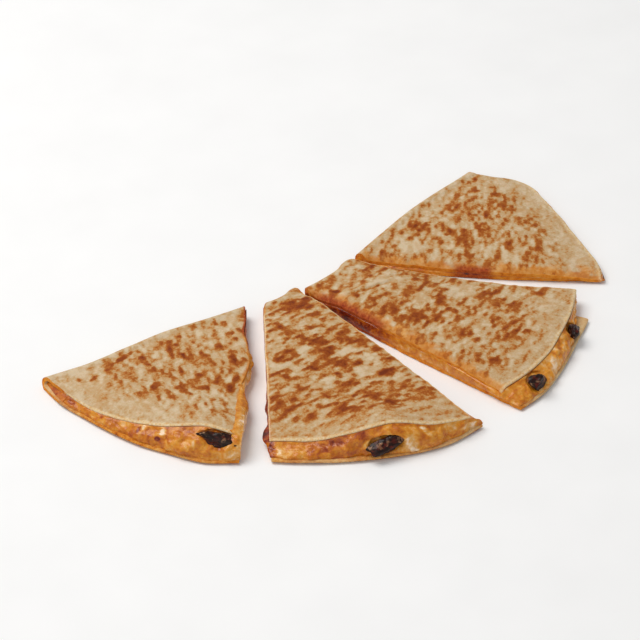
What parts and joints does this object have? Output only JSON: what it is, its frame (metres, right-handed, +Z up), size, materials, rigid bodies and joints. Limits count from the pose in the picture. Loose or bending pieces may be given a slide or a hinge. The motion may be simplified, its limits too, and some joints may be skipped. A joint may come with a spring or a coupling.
{
  "type": "quesadilla",
  "caption": "Griddled flour tortilla folded over melted cheese and steak, cut into wedges that stay together as a half-moon.",
  "frame": {"origin": "centre of the footprint's box, at table height", "axes": "+X along the fold from the left tip to the right tip, +Y from the rim towards the fold, +Z up"},
  "size_m": [0.2756, 0.1542, 0.0144],
  "materials": {
    "tortilla": "matt, floury, browned in patches",
    "cheese": "melted, with a soft shine",
    "steak": "charred, with a wet shine"
  },
  "bodies": {
    "root": {"wedge_1_tortilla": "tortilla", "wedge_1_cheese": "cheese", "wedge_1_steak": "steak", "wedge_2_tortilla": "tortilla", "wedge_2_cheese": "cheese", "wedge_2_steak": "steak", "wedge_3_tortilla": "tortilla", "wedge_3_cheese": "cheese", "wedge_3_steak_left": "steak", "wedge_3_steak_right": "steak", "wedge_4_tortilla": "tortilla", "wedge_4_cheese": "cheese"}
  },
  "joints": []
}
